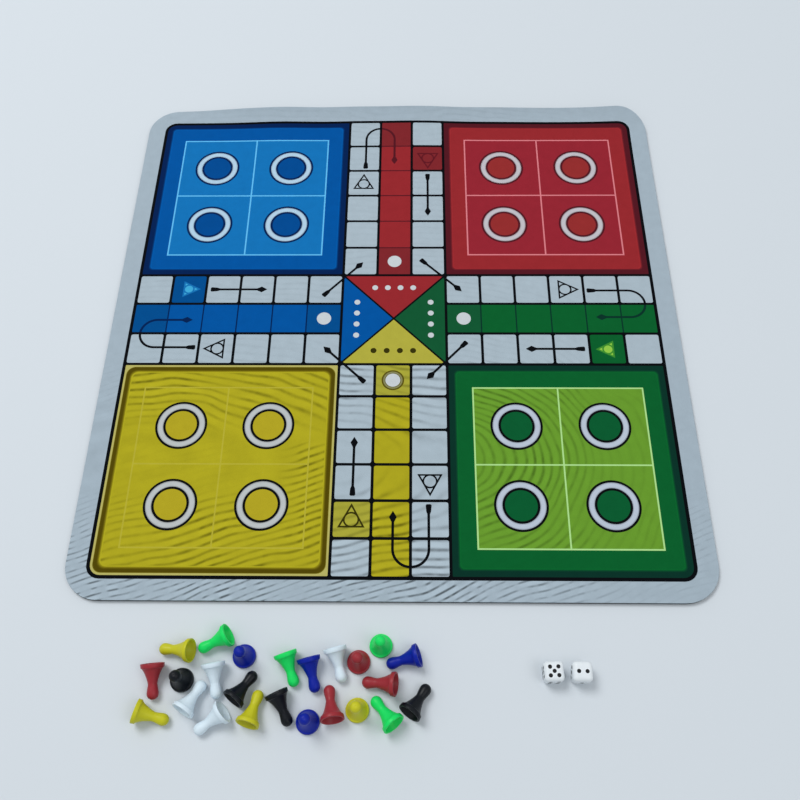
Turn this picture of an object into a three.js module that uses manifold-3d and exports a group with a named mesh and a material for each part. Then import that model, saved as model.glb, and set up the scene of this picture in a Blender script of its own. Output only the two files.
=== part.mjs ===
// Ludo set: a soft square mat that carries the printed ludo field, with its loose playing pieces.
// The mat is a printed polyester cloth bonded to a rubber base. Twenty-four hollow moulded pawns
// and two dice lie on the table in front of it. Millimetres, +Z up, +X to the player's right and
// +Y away from the player, with the origin at the middle of the mat's underside.

import * as THREE from 'three';
import { RoundedBoxGeometry } from 'three/addons/geometries/RoundedBoxGeometry.js';
import { mergeVertices } from 'three/addons/utils/BufferGeometryUtils.js';
import Module from 'manifold-3d';

// Mat
const BORDER = 15; // white cloth around the printed field
const MAT_CORNER_RADIUS = 24;
const RUBBER_THICKNESS = 2.2;
const CLOTH_THICKNESS = 0.8;

// Printed field
const CELL = 26; // side of one square of the track
const ARM_CELLS = 6; // squares along an arm, and along a yard's side
const MIDDLE_CELLS = 3; // squares across an arm, and along the middle's side
const START_ROW = 5; // the coloured start square, counted outwards from the middle
const PRINT_CORNER_RADIUS = 8;
const DYE_DEPTH = 0.1; // how far the four colours soak into the cloth
const DYE_GAP = 0.3; // kept around each colour
const SPOT_RADIUS = 16; // parking spot of one pawn in a yard
const SPOT_SPACING = 60;
const LINE_WIDTH = 1.6;
const LINE_THICKNESS = 0.1; // the black ink lies on top of the cloth and the colours

// Arrows of one arm, with their places in squares to the right of the arm's middle line and
// outwards from the middle of the board
const STRAIGHT_ARROW = { tail: [-1, 3.87], tip: [-1, 2.21] };
const CORNER_ARROW = { tail: [2.07, -0.73], tip: [0.93, 0.47] };
const TURNING_ARROW = { tail: [0.96, 4.09], tip: [0.05, 4.27], bend: 5.27 };
const ARROW_WIDTH = 1.6;
const ARROW_HEAD_LENGTH = 7;
const ARROW_HEAD_BARB = 4; // from the tip to the widest place of the head
const ARROW_HEAD_WIDTH = 5.2;
const ARROW_TAIL_LENGTH = 6;
const ARROW_TAIL_WIDTH = 3.6;
const ARROW_TAIL_NECK = 2.6;

// Pawns
const PAWN_HEIGHT = 21;
const PAWN_BASE_DIAMETER = 14.5;
const PAWN_RIM_HEIGHT = 2.6; // upright rim around the base
const PAWN_RIM_TAPER = 0.3; // how far the rim leans in
const PAWN_NECK_DIAMETER = 5.6;
const PAWN_NECK_LENGTH = 4; // straight part below the head
const PAWN_HEAD_BULGE = 0.7; // how far the head stands out from the neck
const PAWN_WALL = 1.2;
const PAWN_SIDES = 12;

// Dice
const DIE_SIZE = 12;
const DIE_CORNER_RADIUS = 1.6;
const DIE_CORNER_STEPS = 2;
const PIP_RADIUS = 1.1;
const PIP_DEPTH = 0.4;
const PIP_SPACING = 5; // between the outer pips of a face
const PIP_SIDES = 8;

// Places on the table
const HEAP_GAP = 18.5; // between the mat's front edge and the heap of pawns
const HEAP_X = -62; // middle of the heap
const HEAP_STEP_OF_BASE = 0.725; // the heap's step has this share of a pawn's base
const HEAP_STEP_OF_HEIGHT = 0.214; // and this share of its height, so that none touch
const DICE_GAP = 36.5; // between the mat's front edge and the dice
const DICE_X = 107.5; // middle of the pair
const DICE_APART = 5;

const wasm = await Module();
wasm.setup();

const armHalf = (MIDDLE_CELLS * CELL) / 2;
const fieldHalf = armHalf + ARM_CELLS * CELL;
const yardMiddle = (armHalf + fieldHalf) / 2;
const matHalf = fieldHalf + BORDER;
const clothTop = RUBBER_THICKNESS + CLOTH_THICKNESS;
const QUARTERS = [0, 1, 2, 3]; // front, left, far and right player

// Booleans

function solidOf(geometry) {
  const bare = geometry.clone();
  bare.deleteAttribute('normal');
  bare.deleteAttribute('uv');
  const merged = mergeVertices(bare);
  return new wasm.Manifold(new wasm.Mesh({
    numProp: 3,
    vertProperties: new Float32Array(merged.attributes.position.array),
    triVerts: new Uint32Array(merged.index.array),
  }));
}

function geometryOf(solid) {
  const mesh = solid.asOriginal().simplify().getMesh();
  const geometry = new THREE.BufferGeometry();
  geometry.setAttribute('position', new THREE.BufferAttribute(mesh.vertProperties, 3));
  geometry.setIndex(new THREE.BufferAttribute(mesh.triVerts, 1));
  geometry.computeVertexNormals();
  return geometry;
}

function joined(solids) {
  return solids.reduce((sum, solid) => sum.add(solid));
}

// The same solid for each of the four players
function forEachPlayer(solid) {
  return joined(QUARTERS.map((quarter) => solid.rotate([0, 0, -90 * quarter])));
}

// Flat outlines

function slab(shape, thickness, curveSegments = 8) {
  return new THREE.ExtrudeGeometry(shape, { depth: thickness, bevelEnabled: false, curveSegments });
}

function polygon(points) {
  return new THREE.Shape(points.map(([x, y]) => new THREE.Vector2(x, y)));
}

function roundedSquare(half, radius) {
  const inner = half - radius;
  const outline = new THREE.Shape();
  outline.absarc(inner, inner, radius, 0, Math.PI / 2);
  outline.absarc(-inner, inner, radius, Math.PI / 2, Math.PI);
  outline.absarc(-inner, -inner, radius, Math.PI, Math.PI * 1.5);
  outline.absarc(inner, -inner, radius, Math.PI * 1.5, Math.PI * 2);
  return outline;
}

// The front player's colour: the yard on the left with its four spots left white, the start square,
// the home column and the front quarter of the middle, all kept inside their squares by the inset
function colourArea(inset, spotRadius, thickness) {
  const outer = fieldHalf - inset;
  const yardSide = armHalf + inset;
  const column = CELL / 2 - inset;
  const startNear = armHalf + (START_ROW - 1) * CELL + inset;
  const startFar = armHalf + START_ROW * CELL - inset;
  const quarterBase = armHalf - inset;
  const quarterTip = inset * Math.SQRT2;
  const radius = PRINT_CORNER_RADIUS - inset;
  const outline = polygon([
    [-yardSide, -outer],
    [-yardSide, -startFar],
    [-column, -startFar],
    [-column, -outer],
    [column, -outer],
    [column, -quarterBase],
    [quarterBase - quarterTip, -quarterBase],
    [0, -quarterTip],
    [quarterTip - quarterBase, -quarterBase],
    [-column, -quarterBase],
    [-column, -startNear],
    [-yardSide, -startNear],
    [-yardSide, -yardSide],
    [-outer, -yardSide],
  ]);
  outline.absarc(radius - outer, radius - outer, radius, Math.PI, Math.PI * 1.5);
  for (const across of [-1, 1]) {
    for (const along of [-1, 1]) {
      const x = -yardMiddle + (across * SPOT_SPACING) / 2;
      const y = -yardMiddle + (along * SPOT_SPACING) / 2;
      outline.holes.push(new THREE.Path().absarc(x, y, spotRadius, 0, Math.PI * 2, true));
    }
  }
  return slab(outline, thickness);
}

// Cloth with a shallow bed for each colour
function clothGeometry(outline) {
  const bed = solidOf(colourArea(DYE_GAP, SPOT_RADIUS - DYE_GAP, 2 * DYE_DEPTH));
  const beds = forEachPlayer(bed).translate([0, 0, CLOTH_THICKNESS - DYE_DEPTH]);
  return geometryOf(solidOf(slab(outline, CLOTH_THICKNESS)).subtract(beds));
}

// Black lines around the squares of the front arm
function bar(left, right, foot, top) {
  return slab(polygon([[left, foot], [right, foot], [right, top], [left, top]]), LINE_THICKNESS);
}

function armGrid() {
  const edge = LINE_WIDTH / 2;
  const bars = [];
  for (let row = 0; row <= ARM_CELLS; row += 1) {
    const y = -armHalf - row * CELL;
    bars.push(bar(-armHalf - edge, armHalf + edge, y - edge, y + edge));
  }
  for (let column = 0; column <= MIDDLE_CELLS; column += 1) {
    const x = -armHalf + column * CELL;
    bars.push(bar(x - edge, x + edge, -fieldHalf - edge, -armHalf + edge));
  }
  return bars;
}

function fieldFrame() {
  const edge = LINE_WIDTH / 2;
  const frame = roundedSquare(fieldHalf + edge, PRINT_CORNER_RADIUS + edge);
  frame.holes.push(roundedSquare(fieldHalf - edge, PRINT_CORNER_RADIUS - edge));
  return slab(frame, LINE_THICKNESS);
}

function middleDiagonal() {
  const reach = armHalf * Math.SQRT2;
  const edge = LINE_WIDTH / 2;
  const line = polygon([[-reach, -edge], [reach, -edge], [reach, edge], [-reach, edge]]);
  return slab(line, LINE_THICKNESS).rotateZ(Math.PI / 4);
}

// Arrows: a tail block that narrows into a thin line, and a diamond head

function onArm([across, outwards]) {
  return new THREE.Vector2(across * CELL, -armHalf - outwards * CELL);
}

function straightArrow({ tail, tip }) {
  const from = onArm(tail);
  const along = onArm(tip).sub(from);
  const length = along.length();
  const side = [
    [0, ARROW_TAIL_WIDTH / 2],
    [ARROW_TAIL_LENGTH, ARROW_TAIL_NECK / 2],
    [ARROW_TAIL_LENGTH, ARROW_WIDTH / 2],
    [length - ARROW_HEAD_LENGTH, ARROW_WIDTH / 2],
    [length - ARROW_HEAD_BARB, ARROW_HEAD_WIDTH / 2],
  ];
  const otherSide = side.map(([x, y]) => [x, -y]).reverse();
  const arrow = slab(polygon([...side, [length, 0], ...otherSide]), LINE_THICKNESS);
  return arrow.rotateZ(along.angle()).translate(from.x, from.y, 0);
}

// From the right column, round its outer end and back up the home column
function turningArrow({ tail, tip, bend }) {
  const from = onArm(tail);
  const to = onArm(tip);
  const radius = (from.x - to.x) / 2;
  const middle = onArm([(tail[0] + tip[0]) / 2, bend]);
  const tailEnd = from.y - middle.y;
  const tailNeck = tailEnd - ARROW_TAIL_LENGTH;
  const tipEnd = to.y - middle.y;
  const edge = ARROW_WIDTH / 2;
  const arrow = polygon([
    [radius - edge, tailNeck],
    [radius - ARROW_TAIL_NECK / 2, tailNeck],
    [radius - ARROW_TAIL_WIDTH / 2, tailEnd],
    [radius + ARROW_TAIL_WIDTH / 2, tailEnd],
    [radius + ARROW_TAIL_NECK / 2, tailNeck],
    [radius + edge, tailNeck],
  ]);
  arrow.absarc(0, 0, radius + edge, 0, -Math.PI, true);
  arrow.lineTo(-radius - edge, tipEnd - ARROW_HEAD_LENGTH);
  arrow.lineTo(-radius - ARROW_HEAD_WIDTH / 2, tipEnd - ARROW_HEAD_BARB);
  arrow.lineTo(-radius, tipEnd);
  arrow.lineTo(-radius + ARROW_HEAD_WIDTH / 2, tipEnd - ARROW_HEAD_BARB);
  arrow.lineTo(-radius + edge, tipEnd - ARROW_HEAD_LENGTH);
  arrow.absarc(0, 0, radius - edge, -Math.PI, 0);
  return slab(arrow, LINE_THICKNESS).translate(middle.x, middle.y, 0);
}

function blackLines() {
  const arrows = [straightArrow(STRAIGHT_ARROW), straightArrow(CORNER_ARROW), turningArrow(TURNING_ARROW)];
  const arm = joined([...armGrid(), ...arrows].map(solidOf));
  const diagonal = solidOf(middleDiagonal());
  const lines = [forEachPlayer(arm), solidOf(fieldFrame()), diagonal, diagonal.rotate([0, 0, 90])];
  return geometryOf(joined(lines));
}

// Pawn: a flared skirt on an upright rim, a thin neck and a ball head, hollow from below

const baseRadius = PAWN_BASE_DIAMETER / 2;
const rimTopRadius = baseRadius - PAWN_RIM_TAPER;
const neckRadius = PAWN_NECK_DIAMETER / 2;
const headRadius = neckRadius + PAWN_HEAD_BULGE;
const headMiddle = PAWN_HEIGHT - headRadius;

function flare(wall, top, steps) {
  const foot = rimTopRadius - wall;
  const neck = neckRadius - wall;
  return new THREE.QuadraticBezierCurve(
    new THREE.Vector2(foot, PAWN_RIM_HEIGHT),
    new THREE.Vector2(neck + (foot - neck) / 4, PAWN_RIM_HEIGHT + (top - PAWN_RIM_HEIGHT) / 3),
    new THREE.Vector2(neck, top),
  ).getPoints(steps);
}

function pawnGeometry() {
  const headStart = -Math.acos(neckRadius / headRadius);
  const flareTop = headMiddle + headRadius * Math.sin(headStart) - PAWN_NECK_LENGTH;
  const headAngles = [headStart, 0, Math.PI / 4];
  const profile = [
    new THREE.Vector2(0, flareTop),
    ...flare(PAWN_WALL, flareTop, 2).reverse(),
    new THREE.Vector2(baseRadius - PAWN_WALL, 0),
    new THREE.Vector2(baseRadius, 0),
    ...flare(0, flareTop, 3),
    ...headAngles.map((angle) => new THREE.Vector2(
      headRadius * Math.cos(angle),
      headMiddle + headRadius * Math.sin(angle),
    )),
    new THREE.Vector2(0, PAWN_HEIGHT),
  ];
  return new THREE.LatheGeometry(profile, PAWN_SIDES).rotateX(Math.PI / 2);
}

// A pawn that lies down rests on the top of its rim and on the widest ring of its head
function layDown(pawn) {
  const tilt = Math.atan((rimTopRadius - headRadius) / (headMiddle - PAWN_RIM_HEIGHT));
  pawn.rotation.y = Math.PI / 2 + tilt;
  pawn.position.x = (-PAWN_HEIGHT / 2) * Math.cos(tilt);
  pawn.position.z = rimTopRadius * Math.cos(tilt) + PAWN_RIM_HEIGHT * Math.sin(tilt);
}

// Die: a round-cornered cube with its pips drilled in, opposite faces adding up to seven

const PIP_PLACES = {
  1: [[0, 0]],
  2: [[-1, 0], [1, 0]],
  3: [[-1, -1], [0, 0], [1, 1]],
  4: [[-1, -1], [-1, 1], [1, -1], [1, 1]],
  5: [[-1, -1], [-1, 1], [0, 0], [1, -1], [1, 1]],
  6: [[-1, -1], [-1, 0], [-1, 1], [1, -1], [1, 0], [1, 1]],
};

// Turns that bring the upper face to the top, underside, right, left, far and near side
const FACE_TURNS = [
  new THREE.Euler(0, 0, 0),
  new THREE.Euler(Math.PI, 0, 0),
  new THREE.Euler(0, Math.PI / 2, 0),
  new THREE.Euler(0, -Math.PI / 2, 0),
  new THREE.Euler(-Math.PI / 2, 0, 0),
  new THREE.Euler(Math.PI / 2, 0, 0),
];

function dieGeometry(faces) {
  const cube = new RoundedBoxGeometry(DIE_SIZE, DIE_SIZE, DIE_SIZE, DIE_CORNER_STEPS, DIE_CORNER_RADIUS);
  const drill = new THREE.CylinderGeometry(PIP_RADIUS, PIP_RADIUS, 2 * PIP_DEPTH, PIP_SIDES);
  drill.rotateX(Math.PI / 2).translate(0, 0, DIE_SIZE / 2);
  const pips = [...faces].flatMap((count, face) => PIP_PLACES[count].map(([across, along]) => {
    const pip = drill.clone().translate((across * PIP_SPACING) / 2, (along * PIP_SPACING) / 2, 0);
    return solidOf(pip.applyMatrix4(new THREE.Matrix4().makeRotationFromEuler(FACE_TURNS[face])));
  }));
  return geometryOf(solidOf(cube).subtract(joined(pips)));
}

// Assembly

const set = new THREE.Group();

function addMesh(name, geometry, color, roughness, parent = set) {
  const mesh = new THREE.Mesh(geometry, new THREE.MeshStandardMaterial({ color, roughness, metalness: 0 }));
  mesh.name = name;
  parent.add(mesh);
  return mesh;
}

const matOutline = roundedSquare(matHalf, MAT_CORNER_RADIUS);
addMesh('rubber_base', slab(matOutline, RUBBER_THICKNESS), 0x15171a, 0.9);
const cloth = addMesh('cloth_face', clothGeometry(matOutline), 0xc9d2da, 0.85);
cloth.position.z = RUBBER_THICKNESS;

const PRINT_COLOURS = [['yellow', 0xc9bd1c], ['blue', 0x0a55a5], ['red', 0xa8262c], ['green', 0x0b6b2c]];
PRINT_COLOURS.forEach(([colour, color], quarter) => {
  const print = addMesh(`${colour}_print`, colourArea(2 * DYE_GAP, SPOT_RADIUS, DYE_DEPTH), color, 0.8);
  print.rotation.z = (-Math.PI / 2) * quarter;
  print.position.z = clothTop - DYE_DEPTH;
});
const lines = addMesh('black_line_print', blackLines(), 0x101014, 0.8);
lines.position.z = clothTop;

// Places of the pawns in the heap, in steps to the right of its middle and towards the player
// from its far edge, then the way the head points, in degrees, for those that lie down
const HEAP = {
  yellow: [[-4.6, 0.8, 175], [-5.2, 3.35, 345], [-1.2, 3, 75], [2.9, 3.05]],
  green: [[-3.05, 0.5, 205], [0.15, 1.55, 290], [3.8, 0.55], [3.95, 3.1, 130]],
  red: [[-5.35, 2.05, 275], [1.85, 2.8, 100], [2.9, 1.2], [3.75, 2.05, 175]],
  blue: [[-1.8, 1], [1.05, 1.75, 285], [0.95, 3.5], [4.7, 1.15, 195]],
  white: [[-3.65, 2.6, 60], [-2.85, 2, 280], [-2.9, 3.55, 215], [2.1, 1.35, 285]],
  black: [[-4.25, 1.95], [-1.65, 2.2, 55], [-0.05, 3.05, 295], [5.35, 2.65, 55]],
};
const PAWN_COLOURS = {
  yellow: 0xc8bf2a, green: 0x1fd45c, red: 0x9c3036, blue: 0x0c1f8c, white: 0xdfe6ec, black: 0x0b0f16,
};
const heapStep = HEAP_STEP_OF_BASE * PAWN_BASE_DIAMETER + HEAP_STEP_OF_HEIGHT * PAWN_HEIGHT;
const pawnShape = pawnGeometry();
for (const [colour, places] of Object.entries(HEAP)) {
  places.forEach(([across, nearer, heading], index) => {
    const spot = new THREE.Group();
    spot.position.set(HEAP_X + across * heapStep, -matHalf - HEAP_GAP - nearer * heapStep, 0);
    const pawn = addMesh(`${colour}_pawn_${index + 1}`, pawnShape, PAWN_COLOURS[colour], 0.35, spot);
    if (heading !== undefined) {
      layDown(pawn);
      spot.rotation.z = THREE.MathUtils.degToRad(heading);
    }
    set.add(spot);
  });
}

// Each die with its faces in the order of the turns above, and how far it lies askew, in degrees
const DICE = [['five_up_die', '521634', 2], ['two_up_die', '254361', -1]];
DICE.forEach(([name, faces, askew], index) => {
  const die = addMesh(name, dieGeometry(faces), 0xe4ebf0, 0.3);
  const step = DIE_SIZE + DICE_APART;
  die.position.set(DICE_X + (index - 0.5) * step, -matHalf - DICE_GAP - DIE_SIZE / 2, DIE_SIZE / 2);
  die.rotation.z = THREE.MathUtils.degToRad(askew);
});

export default set;
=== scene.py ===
"""A soft ludo mat with its pawns and dice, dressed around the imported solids. Metres, +Z up."""
from math import acos, atan, cos, exp, pi, radians, sin

import bmesh
import bpy
from mathutils import Euler, Matrix, Vector
from mathutils.geometry import delaunay_2d_cdt


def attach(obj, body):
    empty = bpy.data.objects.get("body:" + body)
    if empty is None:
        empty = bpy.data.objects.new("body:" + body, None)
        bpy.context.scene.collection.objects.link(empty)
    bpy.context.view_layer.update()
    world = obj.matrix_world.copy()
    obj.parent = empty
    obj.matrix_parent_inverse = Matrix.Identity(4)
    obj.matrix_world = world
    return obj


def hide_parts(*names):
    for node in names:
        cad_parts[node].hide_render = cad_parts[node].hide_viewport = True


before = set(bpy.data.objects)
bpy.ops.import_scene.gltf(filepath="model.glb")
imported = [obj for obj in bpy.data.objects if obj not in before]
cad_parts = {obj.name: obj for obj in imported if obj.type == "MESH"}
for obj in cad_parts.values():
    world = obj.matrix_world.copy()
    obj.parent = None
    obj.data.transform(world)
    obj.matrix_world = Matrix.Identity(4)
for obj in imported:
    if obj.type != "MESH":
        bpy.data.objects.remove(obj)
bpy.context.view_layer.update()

# Rubber base. A sheet of black foamed rubber, die-cut to a square with round corners, with a fine
# ripple moulded underneath so that it doesn't slide. The cloth is bonded to its top. Its far edge
# and far right corner stand up a little, because the mat was rolled up before.

MAT_HALF = 0.210
MAT_CORNER = 0.024
RUBBER_TOP = 0.0022
RUBBER_EDGE_ROUND = 0.0003
CORNER_STEPS = 14
SIDE_STEPS = 40
EDGE_STEPS = 3  # round each rim of a layer's edge
FACE_STEP = 0.010  # between the loose points that let a face bend
EDGE_RINGS = (0.004, 0.008)  # how far in the loose points along the edge lie

# Each wave's place, height, and reach across and away
FAR_WAVES = [
    (0.016, 0.215, 0.0030, 0.040, 0.045),
    (-0.036, 0.215, 0.0017, 0.026, 0.040),
    (-0.095, 0.215, 0.0024, 0.036, 0.040),
    (0.205, 0.214, 0.0030, 0.036, 0.020),
    (0.085, 0.220, 0.0009, 0.030, 0.030),
]
CURL_HEIGHT = 0.0030
CURL_WIDTH = 0.016
CURL_LEFT_END = -0.190
CURL_FULL = -0.125  # from here to the right the edge is curled in full
SLOPE_STEP = 0.0005


def lift(x, y):
    """How far the mat stands up at a place."""
    height = 0
    for wave_x, wave_y, top, across, away in FAR_WAVES:
        height += top * exp(-((x - wave_x) / across) ** 2 - ((y - wave_y) / away) ** 2)
    curl = max(0, (y - MAT_HALF + CURL_WIDTH) / CURL_WIDTH)
    along = min(1, max(0, (x - CURL_LEFT_END) / (CURL_FULL - CURL_LEFT_END)))
    return height + CURL_HEIGHT * curl**2 * along**2 * (3 - 2 * along)


def lift_normal(x, y):
    slope_x = (lift(x + SLOPE_STEP, y) - lift(x - SLOPE_STEP, y)) / (2 * SLOPE_STEP)
    slope_y = (lift(x, y + SLOPE_STEP) - lift(x, y - SLOPE_STEP)) / (2 * SLOPE_STEP)
    return Vector((-slope_x, -slope_y, 1)).normalized()


def arc(x, y, radius, start, sweep, steps):
    angles = [start + sweep * k / steps for k in range(steps + 1)]
    return [(x + radius * cos(angle), y + radius * sin(angle)) for angle in angles]


def mat_outline(inset):
    """Points round the mat, moved in by inset, starting at the near end of the right side."""
    half = MAT_HALF - inset
    radius = MAT_CORNER - inset
    flat = half - radius
    points = []
    for quarter in range(4):
        turn = quarter * pi / 2
        side = [(half, -flat + 2 * flat * k / SIDE_STEPS) for k in range(SIDE_STEPS)]
        side += arc(flat, flat, radius, 0, pi / 2, CORNER_STEPS)[:-1]
        for x, y in side:
            points.append((x * cos(turn) - y * sin(turn), x * sin(turn) + y * cos(turn)))
    return points


def loose_points():
    """A square lattice of points inside the mat and rings along its edge, so that a face can bend."""
    count = int((MAT_HALF - MAT_CORNER / 2) / FACE_STEP)
    steps = [k * FACE_STEP for k in range(-count, count + 1)]
    points = [(x, y) for x in steps for y in steps]
    for inset in EDGE_RINGS:
        points += mat_outline(inset)
    return points


MILLIMETRES = 1000  # in a metre, for cutting faces
CUT_CLOSENESS = 1e-5
KEEP_INSIDE = 1  # what lies inside an outline


def cut_face(areas, points):
    """Triangles of a face that is cut along the outline of every area, with the areas over each."""
    places = []
    loops = []
    for area in areas:
        loops.append(list(range(len(places), len(places) + len(area))))
        places += [Vector((MILLIMETRES * x, MILLIMETRES * y)) for x, y in area]
    places += [Vector((MILLIMETRES * x, MILLIMETRES * y)) for x, y in points]
    found, _, triangles, origins, _, covers = delaunay_2d_cdt(places, [], loops, KEEP_INSIDE, CUT_CLOSENESS)
    corners = [(place.x / MILLIMETRES, place.y / MILLIMETRES) for place in found]
    place_of = {first: k for k, sources in enumerate(origins) for first in sources}
    return corners, triangles, covers, place_of


def edge_profile(foot, top, edge_round):
    """How far in and how high the rows round a layer's edge lie, from its upper face down."""
    angles = [pi / 2 * k / EDGE_STEPS for k in range(1, EDGE_STEPS + 1)]
    rows = [(edge_round * (1 - sin(angle)), top - edge_round * (1 - cos(angle))) for angle in angles]
    rows.append((0, foot + edge_round))
    for angle in angles[:-1]:
        rows.append((edge_round * (1 - cos(angle)), foot + edge_round * (1 - sin(angle))))
    return rows


def made_of(name, shape, *materials):
    """A piece from a finished shape and its materials."""
    mesh = bpy.data.meshes.new(name)
    shape.to_mesh(mesh)
    shape.free()
    mesh.shade_smooth()
    for material in materials:
        mesh.materials.append(material)
    piece = bpy.data.objects.new(name, mesh)
    bpy.context.collection.objects.link(piece)
    return piece


# Places on a layer's bake map: the middle and half width of a face, which is wide for the side that
# is seen, and the strip that holds the edge
WIDE_MAP = (0.475, 0.46)
SMALL_MAP = (0.97, 0.02)
STRIP_LEFT = 0.01
STRIP_LENGTH = 0.92
STRIP_FOOT = 0.955
STRIP_HEIGHT = 0.035


def mat_layer(name, foot, top, edge_round, areas, dye_of, materials, upper_map, lower_map):
    """One bonded layer of the mat: an upper face cut along its areas, a round edge and a lower face."""
    layer = bmesh.new()
    bake_map = layer.loops.layers.uv.new("OFBake")
    outline = mat_outline(edge_round)
    count = len(outline)

    def put(x, y, z):
        return layer.verts.new((x, y, z + lift(x, y)))

    def lay_on_map(face, face_map, way):
        middle, half = face_map
        for loop in face.loops:
            x, y, _ = loop.vert.co
            loop[bake_map].uv = (middle + way * half * x / MAT_HALF, middle + half * y / MAT_HALF)

    corners, triangles, covers, place_of = cut_face([outline, *areas], loose_points())
    upper = [put(x, y, top) for x, y in corners]
    for triangle, over in zip(triangles, covers):
        face = layer.faces.new([upper[k] for k in triangle])
        face.material_index = dye_of(over)
        lay_on_map(face, upper_map, 1)
    rows = [[upper[place_of[k]] for k in range(count)]]

    for inset, z in edge_profile(foot, top, edge_round):
        rows.append([put(x, y, z) for x, y in mat_outline(inset)])

    corners, triangles, _, place_of = cut_face([outline], loose_points())
    lower = [put(x, y, foot) for x, y in corners]
    for triangle in triangles:
        face = layer.faces.new([lower[k] for k in reversed(triangle)])
        lay_on_map(face, lower_map, -1)
    rows.append([lower[place_of[k]] for k in range(count)])

    for row in range(len(rows) - 1):
        for k in range(count):
            after = (k + 1) % count
            face = layer.faces.new((rows[row][k], rows[row + 1][k], rows[row + 1][after], rows[row][after]))
            steps = ((k, row), (k, row + 1), (k + 1, row + 1), (k + 1, row))
            for loop, (along, down) in zip(face.loops, steps):
                across = STRIP_LEFT + STRIP_LENGTH * along / count
                loop[bake_map].uv = (across, STRIP_FOOT + STRIP_HEIGHT * down / len(rows))

    piece = made_of(name, layer, *materials)
    normals = []
    for vertex in piece.data.vertices:
        on_upper_face = vertex.index < len(upper)
        normals.append(lift_normal(vertex.co.x, vertex.co.y) if on_upper_face else (0, 0, 0))
    piece.data.normals_split_custom_set_from_vertices(normals)
    return piece


def seen_colour(red, green, blue):
    """A colour as it is seen on a screen, from 0 to 255, as the linear colour that a shader takes."""
    linear = []
    for value in (red, green, blue):
        share = value / 255
        linear.append(share / 12.92 if share <= 0.04045 else ((share + 0.055) / 1.055) ** 2.4)
    return (*linear, 1)


def new_material(name):
    material = bpy.data.materials.new(name)
    material.use_nodes = True
    return material, material.node_tree, material.node_tree.nodes["Principled BSDF"]


def add_node(tree, kind, values=None, **settings):
    node = tree.nodes.new(kind)
    for setting, value in settings.items():
        setattr(node, setting, value)
    for socket, value in (values or {}).items():
        if isinstance(value, bpy.types.NodeSocket):
            tree.links.new(value, node.inputs[socket])
        else:
            node.inputs[socket].default_value = value
    return node


def calc(tree, operation, first, second=0.0):
    """The result of one Math node."""
    return add_node(tree, "ShaderNodeMath", {0: first, 1: second}, operation=operation).outputs[0]


def product(tree, first, *others):
    for value in others:
        first = calc(tree, "MULTIPLY", first, value)
    return first


def total(tree, first, *others):
    for value in others:
        first = calc(tree, "ADD", first, value)
    return first


def ramp(tree, value, span, levels):
    """A value that runs from one level to another over a span, and stays level outside it."""
    (start, end), (low, high) = span, levels
    values = {"Value": value, "From Min": start, "From Max": end, "To Min": low, "To Max": high}
    return add_node(tree, "ShaderNodeMapRange", values).outputs[0]


def noise(tree, place, scale, detail, roughness=0.5):
    """Cloudy values round a half."""
    values = {"Vector": place, "Scale": scale, "Detail": detail, "Roughness": roughness}
    return add_node(tree, "ShaderNodeTexNoise", values).outputs["Fac"]


RUBBER_COLOUR = seen_colour(16, 17, 20)
RUBBER_DUST = seen_colour(44, 46, 50)
GRIP_STEP = 0.0024  # of the ripple underneath
PORE_STEP = 0.0004
PORE_SHARE = 0.5  # of a pore in the relief, beside the ripple


def foamed_rubber():
    material, tree, rubber = new_material("black_foamed_rubber")
    place = add_node(tree, "ShaderNodeTexCoord").outputs["Object"]
    axes = add_node(tree, "ShaderNodeSeparateXYZ", {0: place})
    dust = noise(tree, place, scale=60, detail=5, roughness=0.65)
    dusty = ramp(tree, dust, (0.5, 0.8), (0, 0.4))
    tones = {"Factor": dusty, "A": RUBBER_COLOUR, "B": RUBBER_DUST}
    colour = add_node(tree, "ShaderNodeMix", tones, data_type="RGBA").outputs["Result"]
    pores = add_node(tree, "ShaderNodeTexVoronoi", {"Vector": place, "Scale": 1 / PORE_STEP})
    waves_x = calc(tree, "SINE", product(tree, axes.outputs["X"], 2 * pi / GRIP_STEP))
    waves_y = calc(tree, "SINE", product(tree, axes.outputs["Y"], 2 * pi / GRIP_STEP))
    grip = product(tree, waves_x, waves_y)
    relief = total(tree, product(tree, pores.outputs["Distance"], PORE_SHARE), grip)
    bump = add_node(tree, "ShaderNodeBump", {"Strength": 0.5, "Distance": 0.0001, "Height": relief})
    tree.links.new(colour, rubber.inputs["Base Color"])
    tree.links.new(ramp(tree, dust, (0, 1), (0.78, 0.96)), rubber.inputs["Roughness"])
    tree.links.new(bump.outputs[0], rubber.inputs["Normal"])
    return material


rubber_sheet = mat_layer(
    "rubber_sheet",
    foot=0,
    top=RUBBER_TOP,
    edge_round=RUBBER_EDGE_ROUND,
    areas=[],
    dye_of=lambda over: 0,
    materials=[foamed_rubber()],
    upper_map=SMALL_MAP,
    lower_map=WIDE_MAP,
)
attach(rubber_sheet, "mat")
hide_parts("rubber_base")

# Printed cloth. A fine white polyester weave, printed with the ludo field by dye that soaks into the
# threads, so it has no relief of its own. It is bonded to the rubber and cut with it in one stroke.

CLOTH_TOP = 0.003
CLOTH_EDGE_ROUND = 0.0003
CELL = 0.026  # side of one square of the track
ARM_SQUARES = 6
ARM_HALF = 1.5 * CELL
FIELD_HALF = 7.5 * CELL
LINE_HALF = 0.0010
SQUARE_CORNER = 0.0013
FRAME_OUTSIDE = 0.0014  # how far the black frame reaches past the field
FRAME_CORNER = 0.0094
PLAYERS = ("yellow", "blue", "red", "green")  # front, left, far and right, so clockwise

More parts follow.
